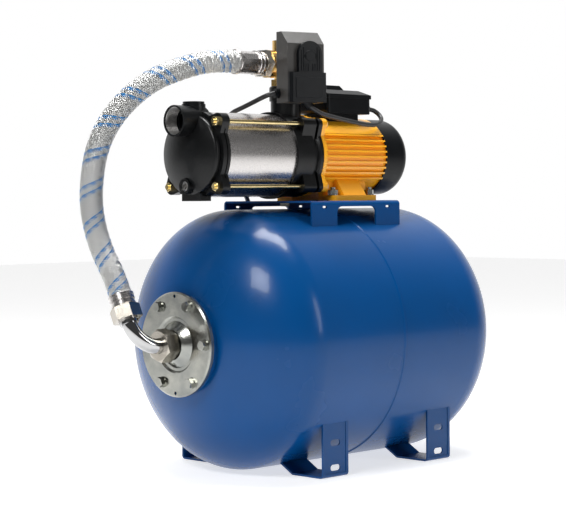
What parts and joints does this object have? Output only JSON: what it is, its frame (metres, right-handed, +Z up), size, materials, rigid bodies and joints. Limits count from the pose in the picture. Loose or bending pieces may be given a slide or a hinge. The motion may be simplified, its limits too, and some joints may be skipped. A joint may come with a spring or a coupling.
{
  "type": "centrifugal water pump",
  "caption": "Horizontal multistage centrifugal booster pump on a horizontal membrane tank, with flexible hose, brass manifold and electronic pressure controller.",
  "frame": {"origin": "on the floor, under the middle of the whole set measured without its cords", "axes": "-X along the pump shaft and the tank towards the suction port and the tank flange, +Z up"},
  "size_m": [0.6773, 0.5114, 0.6415],
  "materials": {
    "tank_enamel": "gloss blue stoved enamel",
    "zinc_plate": "bright zinc plate",
    "yellow_zinc": "yellow passivated zinc",
    "butyl": "matt",
    "chrome": "polished",
    "nickel_brass": "nickel plated brass",
    "brass": "machined",
    "steel_braid": "braided stainless wire with blue marker threads",
    "stainless": "fine brushed",
    "black_casting": "black semi-gloss paint on cast iron",
    "orange_casting": "orange-yellow gloss paint on aluminium",
    "black_plastic": "satin moulded",
    "grey_plastic": "fine textured moulding",
    "cable_pvc": "satin",
    "noryl": "moulded",
    "steel": "machined",
    "lamination": "stacked sheet",
    "copper": "varnished winding",
    "ceramic": "lapped",
    "board": "printed board"
  },
  "bodies": {
    "set": {"tank_front_shell": "tank_enamel", "tank_rear_shell": "tank_enamel", "tank_collar": "tank_enamel", "tank_flange": "zinc_plate", "flange_bolts": "zinc_plate", "membrane": "butyl", "air_valve": "nickel_brass", "foot_front_near": "tank_enamel", "foot_front_far": "tank_enamel", "foot_rear_near": "tank_enamel", "foot_rear_far": "tank_enamel", "pump_platform": "tank_enamel", "foot_bolts": "zinc_plate", "foot_nuts": "zinc_plate", "elbow": "chrome", "lower_ferrule": "stainless", "hose": "steel_braid", "upper_ferrule": "stainless", "brass_manifold": "brass", "suction_cover": "black_casting", "outer_sleeve": "stainless", "tie_rods": "yellow_zinc", "tie_rod_nuts": "yellow_zinc", "discharge_casing": "black_casting", "casing_bolts": "zinc_plate", "seal_seat": "ceramic", "diffusers": "noryl", "motor_housing": "orange_casting", "stator_core": "lamination", "stator_windings": "copper", "bearings": "steel", "rear_shield": "orange_casting", "fan_cover": "black_plastic", "terminal_box": "black_plastic", "terminal_lid": "black_plastic", "capacitor": "noryl", "terminal_block": "noryl", "controller_shell": "grey_plastic", "controller_cover": "black_plastic", "circuit_board": "board", "controller_stem": "brass", "cable_glands": "black_plastic", "motor_cable": "cable_pvc", "mains_lead": "cable_pvc", "mains_coil": "cable_pvc", "mains_tail": "cable_pvc", "mains_plug": "black_plastic"},
    "rotor": {"shaft": "steel", "rotor_core": "lamination", "impellers": "noryl", "cooling_fan": "noryl", "seal_head": "steel"},
    "button": {"reset_button": "black_plastic"},
    "filler": {"filler_plug": "black_casting"},
    "drain": {"drain_plug": "steel"},
    "valve_cap": {"air_valve_cap": "black_plastic"},
    "valve_core": {"air_valve_core": "brass"},
    "upper_nut": {"upper_hose_nut": "nickel_brass"},
    "lower_nut": {"lower_hose_nut": "nickel_brass"},
    "union": {"union_nut": "nickel_brass"}
  },
  "joints": [
    {"name": "shaft_spin", "type": "hinge", "parent": "set", "child": "rotor", "pos_m": [0, 0, 0.4625], "axis": [1, 0, 0], "continuous": true},
    {"name": "reset_press", "type": "slide", "parent": "set", "child": "button", "axis": [0.2588, 0.9659, 0], "range_m": [0, 0.0025], "stiffness_N_per_m": 400},
    {"name": "filler_plug_out", "type": "slide", "parent": "set", "child": "filler", "axis": [0, 0, 1], "range_m": [0, 0.02]},
    {"name": "drain_plug_out", "type": "slide", "parent": "set", "child": "drain", "axis": [-1, 0, 0], "range_m": [0, 0.03]},
    {"name": "valve_cap_off", "type": "slide", "parent": "set", "child": "valve_cap", "axis": [1, 0, 0], "range_m": [0, 0.03]},
    {"name": "valve_core_press", "type": "slide", "parent": "set", "child": "valve_core", "axis": [-1, 0, 0], "range_m": [0, 0.0015], "stiffness_N_per_m": 400},
    {"name": "upper_nut_turn", "type": "hinge", "parent": "set", "child": "upper_nut", "pos_m": [-0.06, 0, 0.5981], "axis": [1, 0, 0], "continuous": true},
    {"name": "lower_nut_turn", "type": "hinge", "parent": "set", "child": "lower_nut", "pos_m": [-0.3045, 0.01841, 0.23075], "axis": [0, 0.4384, 0.8988], "continuous": true},
    {"name": "union_turn", "type": "hinge", "parent": "set", "child": "union", "pos_m": [-0.256, 0, 0.193], "axis": [1, 0, 0], "continuous": true}
  ]
}
